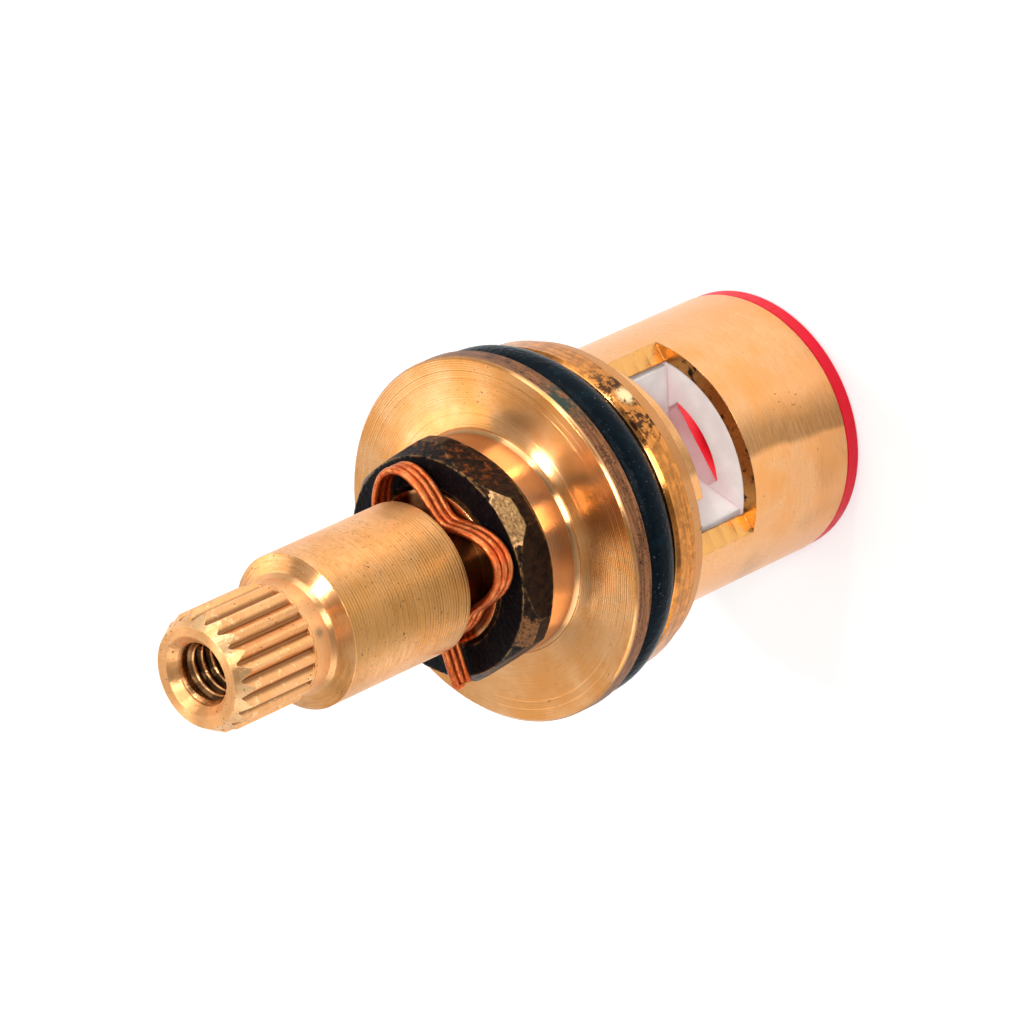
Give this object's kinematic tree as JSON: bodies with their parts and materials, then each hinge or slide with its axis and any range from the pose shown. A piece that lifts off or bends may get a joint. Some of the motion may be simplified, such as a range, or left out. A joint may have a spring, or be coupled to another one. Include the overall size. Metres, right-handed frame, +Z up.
{
  "type": "ceramic disc tap cartridge",
  "caption": "Ceramic disc tap cartridge with a splined brass spindle, wire retaining clip, hexagon headwork, windowed cage and red inlet seal.",
  "frame": {"origin": "centre of the inlet seal's bottom face, on the spindle's axis", "axes": "+Z up the spindle towards the splined tip; the two water windows face -Y and +Y"},
  "size_m": [0.0249, 0.0248, 0.0537],
  "materials": {
    "brass": "machined, lightly tarnished",
    "headwork_brass": "machined, patina on the hexagon",
    "copper_wire": "drawn copper-coloured wire",
    "black_rubber": "greased",
    "ceramic": "lapped",
    "nylon": "moulded",
    "red_rubber": "moulded"
  },
  "bodies": {
    "body": {"headwork": "headwork_brass", "cage": "brass", "body_o_ring": "black_rubber", "fixed_disc": "ceramic", "inlet_seal": "red_rubber"},
    "spindle": {"spindle": "brass", "retaining_clip": "copper_wire", "spindle_o_ring_upper": "black_rubber", "spindle_o_ring_lower": "black_rubber", "thrust_washer": "nylon", "moving_disc": "ceramic"}
  },
  "joints": [
    {"name": "spindle_turn", "type": "hinge", "parent": "body", "child": "spindle", "pos_m": [0, 0, 0.028], "axis": [0, 0, 1], "range_deg": [-90, 0]}
  ]
}
